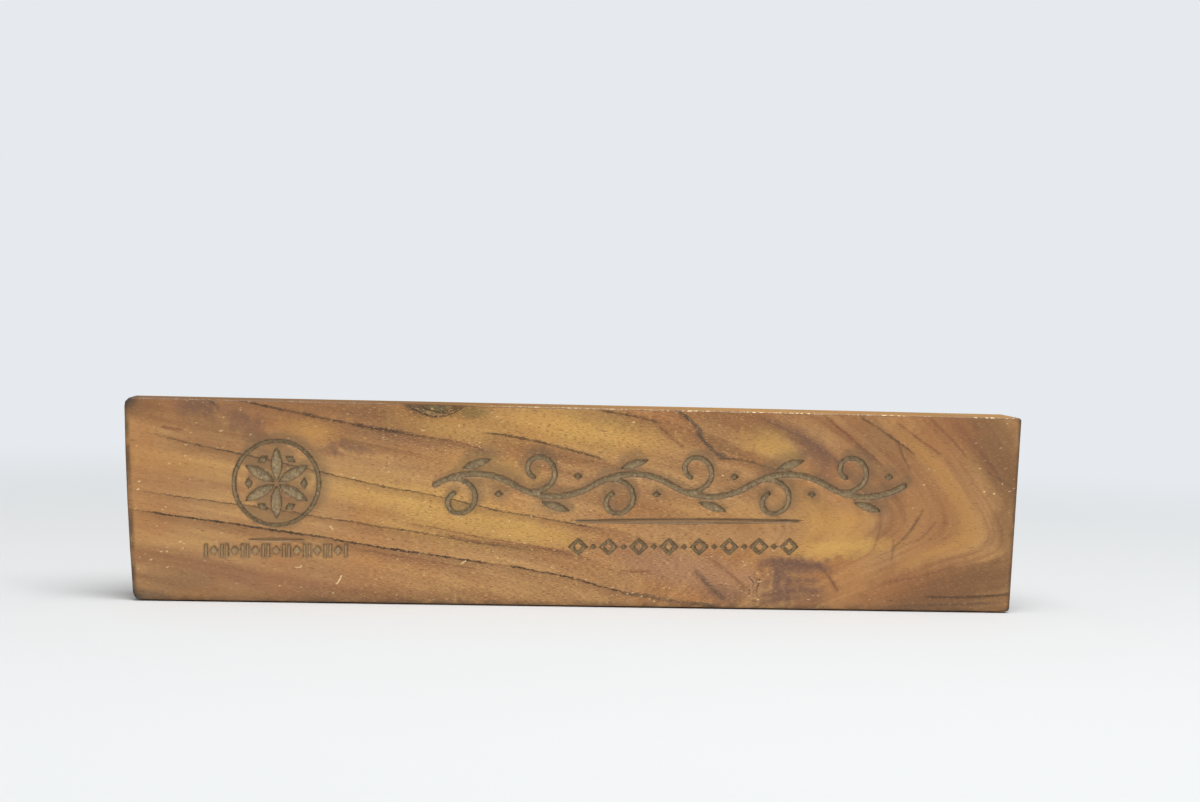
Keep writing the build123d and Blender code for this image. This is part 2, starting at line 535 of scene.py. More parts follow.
solid.normal_update()
moves = []
for point in solid.verts:
    slant = 1 - max(abs(part) for part in point.normal)
    if slant < least_slant or point[distance_layer] < engraved_reach or point.co.z < foot_height:
        continue
    dent = max(0.0, noise.noise(point.co / dent_size))
    dent += chip_share * max(0.0, noise.noise(point.co / dent_size * chips_per_dent))
    moves.append((point, point.normal * (-dent_depth * dent * min(1.0, slant / full_slant))))
for point, move in moves:
    place = point.co + move
    point.co = [min(max(place[axis], block_low[axis]), block_high[axis]) for axis in range(3)]
print("arris points worn:", len(moves))

# %% The block as a piece
block_mesh = bpy.data.meshes.new("teak_body")
solid.to_mesh(block_mesh)
solid.free()
block_mesh.shade_smooth()
block_mesh.set_sharp_from_angle(angle=sharp_angle)
block = added("teak_body", block_mesh)
block.modifiers.new("even_light", "WEIGHTED_NORMAL").keep_sharp = True
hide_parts("teak_block")
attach(block, "root")
print("piece", block.name)

# %% [markdown]
# ## The figure of the teak
#
# Wood is a solid, so its pattern should run through it: the lines on the front must go on over the top and
# the ends. The growth rings are therefore a field, a number for every point in space, and everything else
# hangs on that number. On this plate the rings slope gently down to the right, and near the right end they
# turn back round a swirl. A valley line does this: the ring number is the distance from that line plus a
# steady run along the plate.

# %% Ring field group
lean_through = (0.35, 0.55)
valley_height, valley_slope, valley_bend, valley_softness = 26.0, 0.5, 62.0, 22.0
valley_drop, drop_start, drop_softness = 0.35, 104.0, 10.0
valley_round, under_crowding, under_softness = 7.0, 1.3, 8.0
ring_run, late_run, late_start, late_softness = 0.68, 0.25, 88.0, 14.0
wander_depth, ragged_depth = 2.2, 1.2

rings, given, result = new_group("teak_rings", ["Point"], ["Place", "Ring"])


def soft_start(tree, value, softness):
    """Zero below nothing, the value itself above, with a soft turn between."""
    root = maths(tree, "SQRT", maths(tree, "MULTIPLY_ADD", value, value, softness ** 2))
    return times(tree, maths(tree, "ADD", value, root), 0.5)


x, y, z = parted(rings, given["Point"])
depth = maths(rings, "SUBTRACT", y, block_low.y * 1000)
x = maths(rings, "MULTIPLY_ADD", depth, lean_through[0], x)
z = maths(rings, "MULTIPLY_ADD", depth, lean_through[1], maths(rings, "SUBTRACT", z, block_low.z * 1000))
wander = swings(rings, joined(rings, times(rings, x, 0.03), depth, times(rings, z, 0.08)))
ragged = swings(rings, joined(rings, times(rings, x, 0.9), depth, z), 1.0, 3.0)
z = maths(rings, "MULTIPLY_ADD", wander, wander_depth, z)
z = maths(rings, "MULTIPLY_ADD", ragged, ragged_depth, z)
rings.links.new(joined(rings, x, depth, z), result["Place"])

left_part = soft_start(rings, maths(rings, "SUBTRACT", valley_bend, x), valley_softness)
right_part = soft_start(rings, maths(rings, "SUBTRACT", x, drop_start), drop_softness)
valley = maths(rings, "MULTIPLY_ADD", left_part, -valley_slope, valley_height)
valley = maths(rings, "MULTIPLY_ADD", right_part, -valley_drop, valley)
rise = maths(rings, "SUBTRACT", z, valley)
bowl = maths(rings, "SQRT", maths(rings, "MULTIPLY_ADD", rise, rise, valley_round ** 2))
under = soft_start(rings, times(rings, rise, -1.0), under_softness)
bowl = maths(rings, "MULTIPLY_ADD", under, under_crowding, bowl)
late = soft_start(rings, maths(rings, "SUBTRACT", x, late_start), late_softness)
run = maths(rings, "MULTIPLY_ADD", late, late_run, times(rings, x, ring_run))
rings.links.new(maths(rings, "ADD", bowl, run), result["Ring"])
print("group", rings.name)

# %% Streaks along the rings
teak, wood, varnish, here = new_finish("varnished_teak")
figure = placed(wood, rings, here)
place, ring = figure["Place"], figure["Ring"]
x_place, depth_place, z_place = parted(wood, place)


def streaks(across, along, detail=2.0):
    """Noise drawn out along the rings: it changes fast across them and slowly along them."""
    level = times(wood, ring, across)
    vector = joined(wood, level, times(wood, x_place, along), times(wood, z_place, along))
    return swings(wood, vector, 1.0, detail)


# Each row: changes per ring millimetre, changes per millimetre along, share of the tone
streak_rows = [(0.10, 0.010, 0.80), (0.36, 0.024, 0.68), (1.3, 0.08, 0.32), (3.4, 0.25, 0.16)]
tone = 0.5
for across, along, share in streak_rows:
    tone = maths(wood, "MULTIPLY_ADD", streaks(across, along), share, tone)
colour = ramp(wood, tone, [
    (0.12, paint(117, 85, 54)),
    (0.36, paint(155, 112, 71)),
    (0.52, paint(175, 131, 84)),
    (0.70, paint(192, 147, 92)),
    (0.92, paint(215, 173, 116)),
])
warmth = remap(wood, clouds(wood, place, 0.045, 3.0), 0.40, 0.66, 0.0, 0.42)
colour = tinted(wood, colour, paint(176, 114, 62), warmth)
print("streak layers:", len(streak_rows))

# %% [markdown]
# ## Veins and stains
#
# Some dark lines stand out from the even grain: gum veins, late wood and a few fine cracks. Each is one use
# of a `vein` group: a short arc with a centre, a lean, a length and a sag, dark at its line and shaded on
# its lower side. Around them lie broad stains, golden, reddish and purple brown, each one use of `patch`.
# The swirl at the right end adds bands that follow the ring number itself.

# %% Vein group
vein, given, result = new_group(
    "vein",
    ["Point", "Centre", "Lean", "Half Length", "Sag", "Width", "Shade Reach"],
    ["Line", "Shade"],
)
along, across = turned(vein, given)
along = maths(vein, "DIVIDE", along, given["Half Length"])
across = maths(vein, "SUBTRACT", across, times(vein, along, along, given["Sag"]))
ends = remap(vein, maths(vein, "ABSOLUTE", along), 1.0, 0.7)
line = remap(vein, maths(vein, "ABSOLUTE", across), given["Width"], times(vein, given["Width"], 0.3))
below = maths(vein, "DIVIDE", across, given["Shade Reach"])
shade = times(vein, remap(vein, below, -1.0, 0.0), maths(vein, "LESS_THAN", below, 0.0))
vein.links.new(times(vein, line, ends), result["Line"])
vein.links.new(times(vein, shade, ends), result["Shade"])
print("group", vein.name)

# %% Swirl bands
gold = paint(200, 150, 80)
red_brown = paint(150, 98, 60)
dark_brown = paint(120, 84, 54)
purple_brown = paint(118, 84, 66)

# Each row: ring number at the middle, half width, start along the plate, tint, strength
swirl_bands = [
    (58.0, 7.0, 60.0, gold, 0.45),
    (67.0, 1.4, 76.0, dark_brown, 0.30),
    (72.5, 3.0, 52.0, purple_brown, 0.30),
    (80.5, 1.4, 64.0, red_brown, 0.45),
    (80.0, 8.0, 84.0, red_brown, 0.30),
    (77.5, 0.9, 82.0, dark_brown, 0.30),
    (84.5, 1.4, 84.0, purple_brown, 0.30),
    (88.0, 0.9, 84.0, red_brown, 0.35),
    (94.5, 5.5, 92.0, gold, 0.62),
    (103.5, 1.0, 96.0, red_brown, 0.30),
    (118.0, 17.0, 92.0, dark_brown, 0.60),
]
for level, half_width, start, tint, strength in swirl_bands:
    off = gap(wood, ring, level)
    band = remap(wood, off, half_width, 0.0, 0.0, strength)
    begun = remap(wood, x_place, start - 8.0, start + 8.0)
    colour = tinted(wood, colour, tint, band, begun)
print("swirl bands:", len(swirl_bands))

# %% Stains
blot_x = swings(wood, scaled(wood, place, 0.16), 1.0, 4.0)
blot_z = swings(wood, scaled(wood, place, 0.22), 1.7, 4.0)
blotted = joined(
    wood,
    maths(wood, "MULTIPLY_ADD", blot_x, 16.0, x_place),
    depth_place,
    maths(wood, "MULTIPLY_ADD", blot_z, 6.0, z_place),
)
green_brown = paint(142, 115, 68)
bark_black = paint(62, 56, 50)
mauve_brown = paint(146, 104, 76)
yellow_gold = paint(214, 168, 88)

# Each row: x, height, lean in degrees, half length, half height, tint, strength
stains = [
    (-95, 54, -8, 46, 7, red_brown, 0.45),
    (-123, 54, 0, 11, 7, dark_brown, 0.65),
    (-76, 54.5, -7, 34, 4.5, dark_brown, 0.50),
    (-107, 54, -10, 11, 5, purple_brown, 0.85),
    (-94, 50, -50, 9, 5.5, purple_brown, 0.70),
    (-90, 46, -40, 7, 4, red_brown, 0.60),
    (-102.8, 54.6, -25, 3.6, 1.2, bark_black, 0.70),
    (-75, 48, -8, 12, 4.5, gold, 0.65),
    (-111, 38, -8, 24, 5, gold, 0.40),
    (-52, 51.8, -9, 27, 4.5, dark_brown, 0.60),
    (-40, 27.5, -10, 46, 8, yellow_gold, 0.60),
    (-12, 20, -8, 22, 6, yellow_gold, 0.55),
    (-40, 41, -8, 26, 6, red_brown, 0.25),
    (-70, 43, 10, 4, 3, purple_brown, 0.75),
    (-64, 44, -22, 7, 2.4, purple_brown, 0.65),
    (-85, 6, -3, 64, 9, mauve_brown, 0.50),
    (-60, 1, 0, 80, 5, dark_brown, 0.55),
    (-110, 5, 0, 18, 5.5, paint(126, 98, 68), 0.50),
    (-46, 13, -8, 30, 3.5, mauve_brown, 0.35),
    (-20, 52, -8, 36, 6, gold, 0.42),
    (2, 49.5, -9, 36, 8.5, yellow_gold, 0.62),
    (54, 47, -16, 13, 6, yellow_gold, 0.70),
    (28, 52, -30, 14, 6, red_brown, 0.45),
    (45, 53, -25, 22, 6, dark_brown, 0.45),
    (66, 47, -35, 20, 5, purple_brown, 0.55),
    (69, 41, -60, 11, 6, purple_brown, 0.60),
    (84, 51, -35, 26, 8, dark_brown, 0.35),
    (40, 27, -3, 30, 5, paint(196, 146, 84), 0.45),
    (74, 24, 0, 15, 7.5, gold, 0.65),
    (76, 17.5, 4, 22, 4, yellow_gold, 0.70),
    (30, 11, -12, 32, 8, mauve_brown, 0.55),
    (40, 4.5, -20, 10, 5.5, purple_brown, 0.75),
    (49.5, 6, 84, 8, 4, paint(176, 132, 94), 0.60),
    (58.5, 7, 84, 11, 3.6, purple_brown, 0.90),
    (62, 12.4, -6, 13, 3.5, purple_brown, 0.90),
    (64, 5, -2, 15, 6, purple_brown, 0.65),
    (98, 27, 80, 17, 9, paint(182, 134, 82), 0.50),
    (99, 54, -50, 12, 6, red_brown, 0.50),
    (96, 8, 12, 34, 9, red_brown, 0.75),
    (110, 8, 12, 26, 8, dark_brown, 0.70),
    (106, 2, 4, 34, 6, dark_brown, 0.85),
    (116, 12, 14, 16, 4, dark_brown, 0.50),
    (79, 8, 30, 12, 7, paint(186, 134, 80), 0.55),
    (105, 35, 90, 34, 26, red_brown, 0.25),
    (120, 48, -55, 24, 14, dark_brown, 0.60),
    (108, 53, -50, 14, 6, red_brown, 0.55),
    (124, 27, 90, 28, 6.5, dark_brown, 0.60),
    (8, 53, -10, 24, 4, green_brown, 0.35),
    (-52, 47, -10, 22, 2.6, purple_brown, 0.35),
    (-113, 30, -8, 20, 14, mauve_brown, 0.25),
    (-26, 15.6, -9, 26, 2.6, purple_brown, 0.30),
    (-56, 19, -8, 34, 2.6, mauve_brown, 0.30),
    (-107, 49.5, -8, 24, 8, dark_brown, 0.30),
    (-34, 49, -9, 30, 5, yellow_gold, 0.40),
    (-26, 38.5, -8, 24, 6.5, yellow_gold, 0.40),
    (-38, 20, -8, 32, 6, yellow_gold, 0.38),
    (37, 49.5, -38, 10, 6, dark_brown, 0.25),
    (34, 10, -8, 34, 7, paint(184, 140, 106), 0.45),
    (40, 20, -4, 34, 5, paint(196, 150, 98), 0.40),
]
for *oval, tint, strength in stains:
    colour = tinted(wood, colour, tint, patched(wood, blotted, *oval), strength)
print("stains:", len(stains))

# %% Wane, cracks and a small knot
shallow = remap(wood, depth_place, 6.0, 2.5)
jag = swings(wood, place, 1.6, 3.0)
jagged = joined(wood, x_place, depth_place, maths(wood, "MULTIPLY_ADD", jag, 0.5, z_place))
# Rows as for the stains, with clearer edges, near the front only: bark on the wane and soot black in a crack
marks = [
    (-31, 54.4, -4, 8, 3.0, paint(122, 102, 60), 0.80),
    (-41.5, 55.2, 0, 10, 3.6, paint(92, 82, 58), 0.95),
    (-41, 55.6, 0, 6, 1.2, paint(124, 112, 78), 0.70),
    (-47.4, 55.6, -20, 4.5, 2.0, bark_black, 0.95),
    (-40, 56.3, 0, 10, 1.3, paint(78, 72, 60), 0.90),
    (-34.6, 55.6, 0, 2.6, 0.7, bark_black, 0.85),
    (33.2, 50.6, -40, 2.4, 1.0, bark_black, 0.75),
    (40.2, 43.9, -25, 2.6, 0.9, bark_black, 0.70),
    (61, 12.4, -4, 9, 2.4, purple_brown, 0.55),
    (57.2, 9, 86, 7, 1.6, paint(110, 82, 70), 0.75),
    (-119, 1, 0, 9, 2.6, paint(92, 78, 62), 0.55),
]
for *oval, tint, strength in marks:
    colour = tinted(wood, colour, tint, patched(wood, jagged, *oval), shallow, strength)
knot = patched(wood, jagged, 50.6, 5.6, 84, 6.0, 3.6)
ragged_core = remap(wood, clouds(wood, place, 1.0, 5.0), 0.49, 0.60, 0.0, 0.60)
colour = tinted(wood, colour, paint(92, 66, 48), knot, ragged_core)
print("marks:", len(marks), "and a knot")

# %% Veins
ink = paint(54, 40, 30)
grey_ink = paint(80, 66, 54)
red_ink = paint(126, 78, 52)
purple_ink = paint(112, 80, 66)
raw_wood = paint(240, 214, 160)

# Each row: x, height, lean in degrees, half length, sag, width, shade below, colour, strength
veins = [
    (-53.5, 32.6, -10.8, 74, 0.9, 0.34, 3.0, ink, 0.80),
    (-67.5, 23.1, -7.9, 62, -0.2, 0.34, 3.0, ink, 0.70),
    (-72.5, 18.0, -7.7, 58, 0.0, 0.38, 4.0, ink, 1.00),
    (-3.0, 8.1, -12.4, 20, -1.05, 0.40, 4.0, ink, 1.00),
    (27.0, 2.0, -7.0, 16, 0.0, 0.8, 2.0, grey_ink, 0.80),
    (-72.5, 51.4, -9.4, 28, 1.0, 0.55, 5.0, ink, 0.80),
    (-50.0, 47.9, -8.2, 16, -0.3, 0.40, 4.0, ink, 0.65),
    (-33.0, 45.0, -14.0, 8, -0.4, 0.35, 2.5, red_ink, 0.80),
    (-22.0, 18.2, -10.0, 30, -0.4, 0.35, 2.5, red_ink, 0.70),
    (-46.0, 12.6, -9.0, 20, 0.0, 0.40, 1.5, red_ink, 0.55),
    (49.6, 8.3, -46.0, 1.2, 0.2, 0.32, 0.5, ink, 0.75),
    (51.9, 7.4, 74.0, 1.3, 0.0, 0.34, 0.5, ink, 0.75),
    (49.3, 5.2, 96.0, 0.8, 0.2, 0.42, 0.4, grey_ink, 0.80),
    (50.9, 2.5, -18.0, 0.9, 0.2, 0.30, 0.4, ink, 0.60),
    (118.5, 42.5, -50.0, 6, -0.4, 0.7, 2.0, grey_ink, 0.30),
    (121.0, 38.6, -28.0, 5, 0.0, 0.5, 1.2, grey_ink, 0.40),
    (106.0, 50.0, -44.0, 9, -0.6, 0.7, 3.0, red_ink, 0.60),
    (100.0, 22.5, 44.0, 5.0, 0.4, 0.45, 1.0, red_ink, 0.40),
    (90.5, 17.0, 84.0, 4.0, 0.3, 0.60, 1.0, grey_ink, 0.30),
    (97.5, 26.0, 60.0, 4.0, 0.4, 0.35, 1.0, red_ink, 0.55),
    (98.0, 10.0, 14.0, 12, 0.5, 0.5, 1.5, red_ink, 0.50),
    (107.0, 1.9, 2.0, 16, 0.3, 0.5, 1.5, grey_ink, 0.55),
    (-10.0, 46.0, -10.9, 20, -1.5, 0.5, 5.0, ink, 0.80),
    (-20.0, 17.0, -7.0, 22, 0.6, 0.5, 2.0, red_ink, 0.60),
    (-114.0, 47.6, -6.0, 3.5, 0.0, 0.5, 1.0, red_ink, 0.70),
    (14.0, 54.0, -12.0, 10, -0.3, 0.5, 2.0, ink, 0.75),
    (25.5, 48.3, -38.0, 5.5, 0.0, 0.6, 1.5, red_ink, 0.80),
    (30.0, 53.8, -35.0, 6.4, -0.8, 0.75, 3.0, grey_ink, 0.95),
    (36.5, 46.0, -43.0, 6.2, 0.6, 0.8, 3.0, grey_ink, 0.95),
    (49.0, 41.6, -14.0, 11, -1.6, 0.45, 2.0, ink, 0.70),
    (64.0, 48.5, -29.0, 16, -1.5, 0.8, 4.0, purple_ink, 0.75),
    (78.0, 48.7, -38.0, 13, -0.4, 0.6, 3.0, red_ink, 0.95),
    (88.0, 50.5, -33.0, 11, -0.6, 0.5, 3.0, ink, 0.60),
    (97.0, 49.5, -35.0, 9, 0.0, 0.6, 3.0, red_ink, 0.70),
    (92.5, 44.5, -66.0, 5.5, 0.6, 0.5, 2.0, grey_ink, 0.50),
    (115.0, 46.5, -52.6, 12, -1.5, 1.2, 3.0, red_ink, 0.40),
    (94.3, 21.8, 52.0, 6.5, 0.5, 0.5, 1.5, grey_ink, 0.50),
    (86.0, 21.0, 75.0, 5.0, 0.5, 0.5, 1.5, red_ink, 0.45),
    (114.0, 4.4, 2.0, 15, 0.4, 0.6, 2.0, ink, 0.70),
    (72.0, 9.8, -48.0, 6, -0.9, 0.6, 2.0, red_ink, 0.80),
    (62.5, 13.2, -4.0, 12, -1.6, 1.4, 2.0, purple_ink, 0.70),
    (61.0, 8.6, 3.0, 9, -0.8, 0.8, 2.0, purple_ink, 0.50),
    (61.0, 5.6, 4.0, 10, -0.8, 0.9, 2.0, purple_ink, 0.60),
    (58.0, 3.0, 8.0, 7, -0.4, 0.8, 1.5, purple_ink, 0.50),
    (37.5, 6.6, -42.0, 7, 0.4, 1.0, 3.0, grey_ink, 0.60),
    (43.0, 10.0, -38.0, 8, 0.0, 0.7, 2.0, red_ink, 0.50),
    (16.5, 10.2, 0.0, 5, 0.0, 0.6, 1.5, red_ink, 0.65),
    (-40.8, 53.0, 0.0, 8.6, 3.9, 0.45, 0.3, ink, 0.90),
    (-39.8, 54.1, 0.0, 7.2, 3.2, 0.4, 0.3, ink, 0.70),
    (-66.8, 6.4, 58.0, 1.7, 0.3, 0.3, 0.1, raw_wood, 0.90),
    (-78.2, 9.7, 12.0, 1.1, 0.3, 0.3, 0.1, raw_wood, 0.85),
    (-69.4, 20.8, -50.0, 0.9, 0.0, 0.3, 0.1, raw_wood, 0.90),
    (-32.2, 11.8, 40.0, 1.0, 0.2, 0.3, 0.1, raw_wood, 0.85),
]
broken = remap(wood, clouds(wood, place, 0.22, 3.0), 0.36, 0.56, 0.6, 1.0)
shade_strength = 0.48
short_vein = 10
for x, height, lean, half_length, *form, tint, strength in veins:
    lines = placed(wood, vein, jagged, (x, 0, height), math.radians(lean), half_length, *form)
    colour = tinted(wood, colour, dark_brown, lines["Shade"], strength * shade_strength)
    mark = times(wood, lines["Line"], broken, strength)
    if half_length < short_vein:
        mark = times(wood, mark, shallow)
    colour = tinted(wood, colour, tint, mark)
print("veins:", len(veins))

# %% [markdown]
# ## Pores, dust and smoke
#
# Teak has open pores: short dark dashes along the grain, where pale dust collects. They are the same
# stretched noise as the streaks, only finer and cut off hard. The engraving left smoke on the wood: the
# walls of the grooves are burnt, and a grey brown halo spreads over the face, wider in some places than in
# others. The distance that the mesh carries draws it.

# %% Pores
fibre_fall = 0.11
across_fibre = maths(wood, "MULTIPLY_ADD", x_place, fibre_fall, z_place)


def fibres(per_across, per_along, detail):
    """Noise drawn out along the fibres, which run almost level whatever the rings do."""
    vector = joined(
        wood,
        times(wood, x_place, per_along),
        times(wood, depth_place, per_across),
        times(wood, across_fibre, per_across),
    )
    return swings(wood, vector, 1.0, detail)


pore_noise = fibres(3.2, 0.26, 3.0)
pores = remap(wood, pore_noise, -0.09, -0.22, 0.0, 0.6)
colour = tinted(wood, colour, paint(104, 70, 44), pores)
middle = remap(wood, maths(wood, "ABSOLUTE", maths(wood, "ADD", x_place, 5.0)), 85.0, 30.0, 0.40, 1.0)
dashes = fibres(5.5, 0.8, 2.0)
dark_dashes = remap(wood, dashes, -0.04, -0.18, 0.0, 0.80)
colour = tinted(wood, colour, paint(116, 75, 43), dark_dashes, middle)
light_dashes = remap(wood, dashes, 0.05, 0.20, 0.0, 0.70)
colour = tinted(wood, colour, paint(216, 170, 106), light_dashes, middle)
print("pores placed")

# %% Dust in the pores
jitter = clouds(wood, here, 2.2, 2.0)
x_here, y_here, z_here = parted(wood, here)
along_grain = joined(
    wood,
    times(wood, maths(wood, "ADD", x_here, jitter), 0.45),
    y_here,
    maths(wood, "ADD", z_here, jitter),
)
clusters = remap(wood, clouds(wood, here, 0.05, 2.0), 0.42, 0.62, 0.0, 0.7)
# Each row: x, height, lean, half length, half height of a dusty place
for oval in ((-20, 19, -10, 38, 15), (116, 40, -50, 18, 12), (92, 42, -40, 18, 9)):
    clusters = maths(wood, "MAXIMUM", clusters, patched(wood, jagged, *oval))
# Each row: cells per millimetre, size in cells, share of cells kept, strength
for *specks, strength in ((0.6, 0.12, 0.20, 1.0), (1.5, 0.24, 0.17, 0.9)):
    dust = flecked(wood, along_grain, *specks)
    colour = tinted(wood, colour, paint(238, 208, 156), dust, clusters, strength)
print("dust placed")

# %% [markdown]
# ## Top, arrises and ends
#
# The front has the deepest colour. The top was planed last and is golden, with clear grain lines and small
# pits.
# Towards its left end the top is darkened to brown as painted shade, the arris below it is darkened as
# painted shade, and bright glints along its front arris are painted highlights. The ends show end grain,
# which drinks varnish and turns dark, with the open pores as dots. Dark bands along the end arrises and the
# foot are painted shade. The surface's normal tells which face a point is on, so no piece has to be split.

# %% Planed top, painted shade and painted glints
facing = wood.nodes.new("ShaderNodeNewGeometry")
facing_x, _, facing_z = parted(wood, facing.outputs["Normal"])
top, foot, front = block_high.z * 1000, block_low.z * 1000, block_low.y * 1000
topmost = remap(wood, z_here, top - 1.2, top - 0.7)
upward = times(wood, remap(wood, facing_z, 0.75, 0.95), topmost)
colour = tinted(wood, colour, paint(186, 144, 74), upward, 0.40)
# Each row: changes per ring millimetre and per millimetre along, the noise where a line starts, strength
for across, along, start, strength in ((0.55, 0.012, 0.01, 0.55), (1.6, 0.03, 0.03, 0.50)):
    lines = remap(wood, streaks(across, along, 3.0), start, start + 0.12, 0.0, strength)
    colour = tinted(wood, colour, paint(128, 88, 50), lines, upward)
# Painted shade: the top is darkened towards brown from the middle to its left end
border = maths(wood, "MULTIPLY_ADD", clouds(wood, place, 0.05, 3.0), 90.0, x_place)
painted_shade_left = remap(wood, border, 95.0, -35.0, 0.0, 0.80)
brown_top = times(wood, remap(wood, facing_z, 0.6, 0.9), painted_shade_left, topmost)
colour = mixed(wood, brown_top, colour, (0.38, 0.31, 0.24, 1.0), "MULTIPLY")
pits = remap(wood, clouds(wood, here, 1.1, 4.0), 0.46, 0.38, 0.0, 0.55)
colour = tinted(wood, colour, paint(92, 66, 42), pits, upward)
# Painted shade: the rounded arris just below the top is darkened, so that it looks as sharp as the real one
painted_arris_shade = remap(wood, gap(wood, facing_z, 0.42), 0.42, 0.15, 0.0, 0.80)
colour = tinted(wood, colour, paint(104, 74, 46), painted_arris_shade, topmost)
# Painted highlights: bright glints along the front arris of the top, more of them to the right, none on the
# wane
on_arris = remap(wood, gap(wood, facing_z, 0.80), 0.30, 0.10)
glinting = remap(wood, clouds(wood, here, 0.07, 2.0), 0.40, 0.60, 0.15, 1.0)
more_to_the_right = remap(wood, x_here, -90.0, 40.0, 0.15, 1.0)
glints = times(wood, remap(wood, clouds(wood, here, 1.3, 4.0), 0.50, 0.62), glinting, more_to_the_right)
on_wane = patched(wood, here, -38.5, top, 0.0, 24.0, 8.0)
off_wane = maths(wood, "MULTIPLY_ADD", on_wane, -1.0, 1.0)
by_front = remap(wood, y_here, front + 3.0, front + 1.0)
glints = times(wood, glints, off_wane, times(wood, on_arris, topmost), by_front)
colour = tinted(wood, colour, paint(250, 226, 178), glints, 0.85)
print("top planed, arris rubbed")

# %% End grain and painted shade along the arrises
end_grain = remap(wood, maths(wood, "ABSOLUTE", facing_x), 0.15, 0.80, 0.0, 0.55)
colour = tinted(wood, colour, paint(96, 66, 42), end_grain)
open_pores = flecked(wood, here, 1.8, 0.34, 0.45)
ring_pores = remap(wood, streaks(0.42, 0.01), -0.06, 0.08, 0.3, 1.0)
colour = tinted(wood, colour, paint(58, 40, 28), open_pores, ring_pores, end_grain)

rim_noise = remap(wood, clouds(wood, here, 0.25, 3.0), 0.35, 0.62, 0.35, 1.0)
fall = maths(wood, "SUBTRACT", top, z_here)
left_slope, right_slope = (inset * 1000 / (top - foot) for inset in (left_foot_inset, right_foot_inset))
left_end = maths(wood, "MULTIPLY_ADD", fall, left_slope, block_low.x * 1000)
right_end = maths(wood, "MULTIPLY_ADD", fall, -right_slope, block_high.x * 1000)
off_ends = remap(wood, maths(wood, "ABSOLUTE", facing_x), 0.95, 0.5)
off_underside = remap(wood, facing_z, -0.95, -0.5)
# Painted shade: dark bands along both end arrises, and a painted contact shadow along the foot. Each row:
# distance from an arris, width of its band, strength, the faces it is seen on
for distance, width, strength, seen in (
    (maths(wood, "SUBTRACT", x_here, left_end), 1.5, 0.80, off_ends),
    (maths(wood, "SUBTRACT", right_end, x_here), 1.3, 0.75, off_ends),
    (maths(wood, "SUBTRACT", z_here, foot), 2.0, 0.55, off_underside),
):
    painted_rim_shade = remap(wood, distance, width, 0.25, 0.0, strength)
    colour = tinted(wood, colour, paint(74, 58, 42), painted_rim_shade, rim_noise, seen)

# Each row: x and height of a knocked corner, how far its dirt reaches, strength
dirty_corners = [
    (-127.0, 56.5, 5.4, 0.95),
    (-123.6, 0.6, 5.0, 0.80),
    (127.0, 56.6, 2.4, 0.60),
    (125.6, 0.6, 2.4, 0.65),
]
for x, height, reach, strength in dirty_corners:
    fading = remap(wood, depth_place, 2.0, 12.0, strength, 0.4 * strength)
    dirt = patched(wood, here, x, height, 0.0, reach, reach)
    colour = tinted(wood, colour, paint(64, 56, 48), dirt, fading)
print("ends darkened")

# %% Smoke
def carried(name):
    """A number that the block's mesh carries at each point."""
    node = wood.nodes.new("ShaderNodeAttribute")
    node.attribute_name = name
    return node.outputs["Fac"]


drift = clouds(wood, here, 0.07, 2.0)
halo_reach = remap(wood, drift, 0.38, 0.64, 0.9, 4.2)
halo = remap(wood, carried("smoke_distance"), halo_reach, 0.2, 0.0, 0.52)
colour = tinted(wood, colour, paint(106, 87, 64), halo)
burnt = remap(wood, carried("stroke_distance"), 0.75, 0.35, 0.0, 0.7)
# From the long rule down the strokes are fine, and less burnt
less_below = remap(wood, z_here, 20.8, 21.4, 0.6, 1.0)
colour = tinted(wood, colour, paint(88, 72, 52), burnt, less_below)
print("smoke placed")

# %% Varnish over the wood
def bumped(tree, shader, height, strength, distance):
    """Let a value that changes over the surface stand out as relief, at most as deep as the distance."""
    bump = tree.nodes.new("ShaderNodeBump")
    bump.inputs["Strength"].default_value = strength
    bump.inputs["Distance"].default_value = distance
    tree.links.new(height, bump.inputs["Height"])
    tree.links.new(bump.outputs["Normal"], shader.inputs["Normal"])


wood.links.new(colour, varnish.inputs["Base Color"])
sheen = uneven(wood, here, 0.15, 0.5)
roughness = remap(wood, sheen, 0.2, 0.8, 0.36, 0.52)
for mask, rougher in ((pores, 0.4), (glints, -0.18), (on_wane, 0.5), (upward, 0.40), (halo, 0.4)):
    roughness = maths(wood, "MULTIPLY_ADD", mask, rougher, roughness)
wood.links.new(roughness, varnish.inputs["Roughness"])
varnish.inputs["Specular IOR Level"].default_value = 0.35
relief = maths(wood, "MULTIPLY_ADD", pores, -1.0, times(wood, pore_noise, 0.6))
bumped(wood, varnish, relief, 0.35, 0.00012)
block.data.materials.append(teak)
print("material", teak.name, "with", len(wood.nodes), "nodes")

# %% [markdown]
# ## The engraving's fill
#
# On the floor of every stroke lies a thin matt fill with pale grains and dark burnt specks. It is grey and
# a little olive in the large strokes, paler in the small row and brown in the two rules. The CAD bodies have
# its shape already, so they stay and only get this finish. One function makes all three.

